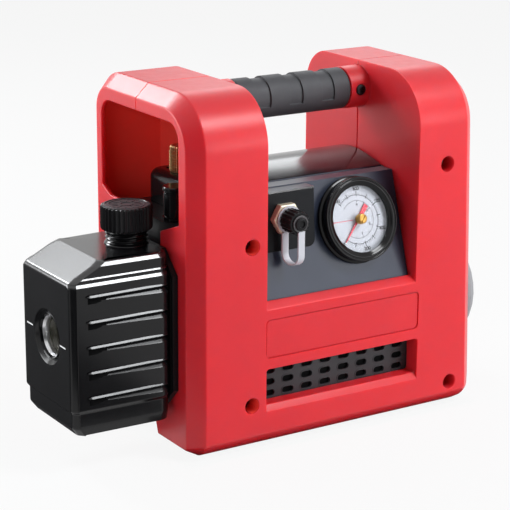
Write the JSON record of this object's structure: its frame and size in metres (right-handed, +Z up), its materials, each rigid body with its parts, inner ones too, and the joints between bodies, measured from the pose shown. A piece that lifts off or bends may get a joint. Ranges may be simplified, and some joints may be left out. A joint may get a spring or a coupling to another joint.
{
  "type": "rotary vane vacuum pump",
  "caption": "Portable two-stage rotary vane vacuum pump in a moulded housing with a carrying handle, side oil tank with sight glass, capped suction port and round vacuum gauge.",
  "frame": {"origin": "centre of the overall box at the level that the feet stand on", "axes": "+X from the oil tank to the fan end, -Y out of the gauge panel, +Z up"},
  "size_m": [0.3116, 0.1362, 0.2323],
  "materials": {
    "red_moulding": "satin moulded",
    "steel": "machined",
    "black_rubber": "matte",
    "black_plastic": "satin",
    "panel_grey": "satin textured",
    "white_plastic": "smooth",
    "pointer_red": "painted",
    "clear_glass": "clear",
    "brass": "machined",
    "gloss_black": "gloss paint",
    "cast_metal": "as cast and bored",
    "carbon": "dry-running composite",
    "copper": "laminated stack and windings",
    "grey_paint": "satin paint"
  },
  "bodies": {
    "pump_body": {"front_shell": "red_moulding", "rear_shell": "red_moulding", "shell_screw_1": "steel", "shell_screw_2": "steel", "shell_screw_3": "steel", "shell_screw_4": "steel", "handle_core": "steel", "sight_glass_ring": "steel", "front_bearing": "steel", "rear_bearing": "steel", "motor_cradle": "steel", "foot_1": "black_rubber", "foot_2": "black_rubber", "foot_3": "black_rubber", "foot_4": "black_rubber", "handle_grip": "black_rubber", "tank_gasket": "black_rubber", "intake_pipe": "black_rubber", "handle_screw_left": "black_plastic", "handle_screw_right": "black_plastic", "gauge_case": "black_plastic", "gauge_bezel": "black_plastic", "vent_grille": "black_plastic", "pump_flange": "black_plastic", "motor_housing": "black_plastic", "capacitor": "black_plastic", "valve_block": "black_plastic", "solenoid_coil": "black_plastic", "power_inlet": "black_plastic", "switch_frame": "black_plastic", "panel_cover": "panel_grey", "gauge_dial": "white_plastic", "cap_strap": "white_plastic", "gauge_lens": "clear_glass", "sight_glass": "clear_glass", "inlet_fitting": "brass", "drain_plug": "brass", "oil_tank": "gloss_black", "stage1_stator": "cast_metal", "stage2_stator": "cast_metal", "middle_plate": "cast_metal", "pump_end_plate": "cast_metal", "motor_stator": "copper", "motor_end_bell": "grey_paint", "fan_cowl": "grey_paint"},
    "rotor": {"drive_shaft": "steel", "stage1_rotor": "steel", "stage2_rotor": "steel", "motor_rotor": "steel", "cooling_fan": "black_plastic"},
    "vane_1a": {"stage1_vane_a": "carbon"},
    "vane_1b": {"stage1_vane_b": "carbon"},
    "vane_2a": {"stage2_vane_a": "carbon"},
    "vane_2b": {"stage2_vane_b": "carbon"},
    "pointer": {"gauge_pointer": "pointer_red"},
    "filler_cap": {"oil_cap": "black_plastic"},
    "port_cap": {"inlet_cap": "black_plastic"},
    "ballast_knob": {"gas_ballast_knob": "brass"},
    "plunger": {"solenoid_plunger": "steel"},
    "rocker": {"power_switch": "black_plastic"}
  },
  "joints": [
    {"name": "drive_spin", "type": "hinge", "parent": "pump_body", "child": "rotor", "pos_m": [-0.08225, -0.0114, 0.0708], "axis": [1, 0, 0], "continuous": true},
    {"name": "vane_1a_slide", "type": "slide", "parent": "rotor", "child": "vane_1a", "axis": [0, -1, 0], "range_m": [0, 0.0024]},
    {"name": "vane_1b_slide", "type": "slide", "parent": "rotor", "child": "vane_1b", "axis": [0, 1, 0], "range_m": [0, 0.0024]},
    {"name": "vane_2a_slide", "type": "slide", "parent": "rotor", "child": "vane_2a", "axis": [0, -1, 0], "range_m": [0, 0.0024]},
    {"name": "vane_2b_slide", "type": "slide", "parent": "rotor", "child": "vane_2b", "axis": [0, 1, 0], "range_m": [0, 0.0024]},
    {"name": "pointer_sweep", "type": "hinge", "parent": "pump_body", "child": "pointer", "pos_m": [0.05165, -0.04459, 0.1375], "axis": [0, -0.9551, 0.2964], "range_deg": [0, 270], "stiffness_Nm_per_rad": 0.002},
    {"name": "filler_cap_turn", "type": "hinge", "parent": "pump_body", "child": "filler_cap", "pos_m": [-0.09905, -0.0114, 0.1457], "axis": [0, 0, 1], "range_deg": [0, 360]},
    {"name": "port_cap_turn", "type": "hinge", "parent": "pump_body", "child": "port_cap", "pos_m": [-0.00495, -0.0654, 0.1476], "axis": [0, -1, 0], "range_deg": [0, 360]},
    {"name": "ballast_knob_turn", "type": "hinge", "parent": "pump_body", "child": "ballast_knob", "pos_m": [-0.04825, 0.0082, 0.1716], "axis": [0, 0, 1], "range_deg": [0, 360]},
    {"name": "plunger_slide", "type": "slide", "parent": "pump_body", "child": "plunger", "axis": [0, 0, 1], "range_m": [0, 0.003], "stiffness_N_per_m": 200},
    {"name": "rocker_tilt", "type": "hinge", "parent": "pump_body", "child": "rocker", "pos_m": [0.13471, 0.0056, 0.17821], "axis": [0, 1, 0], "range_deg": [0, 18]}
  ]
}
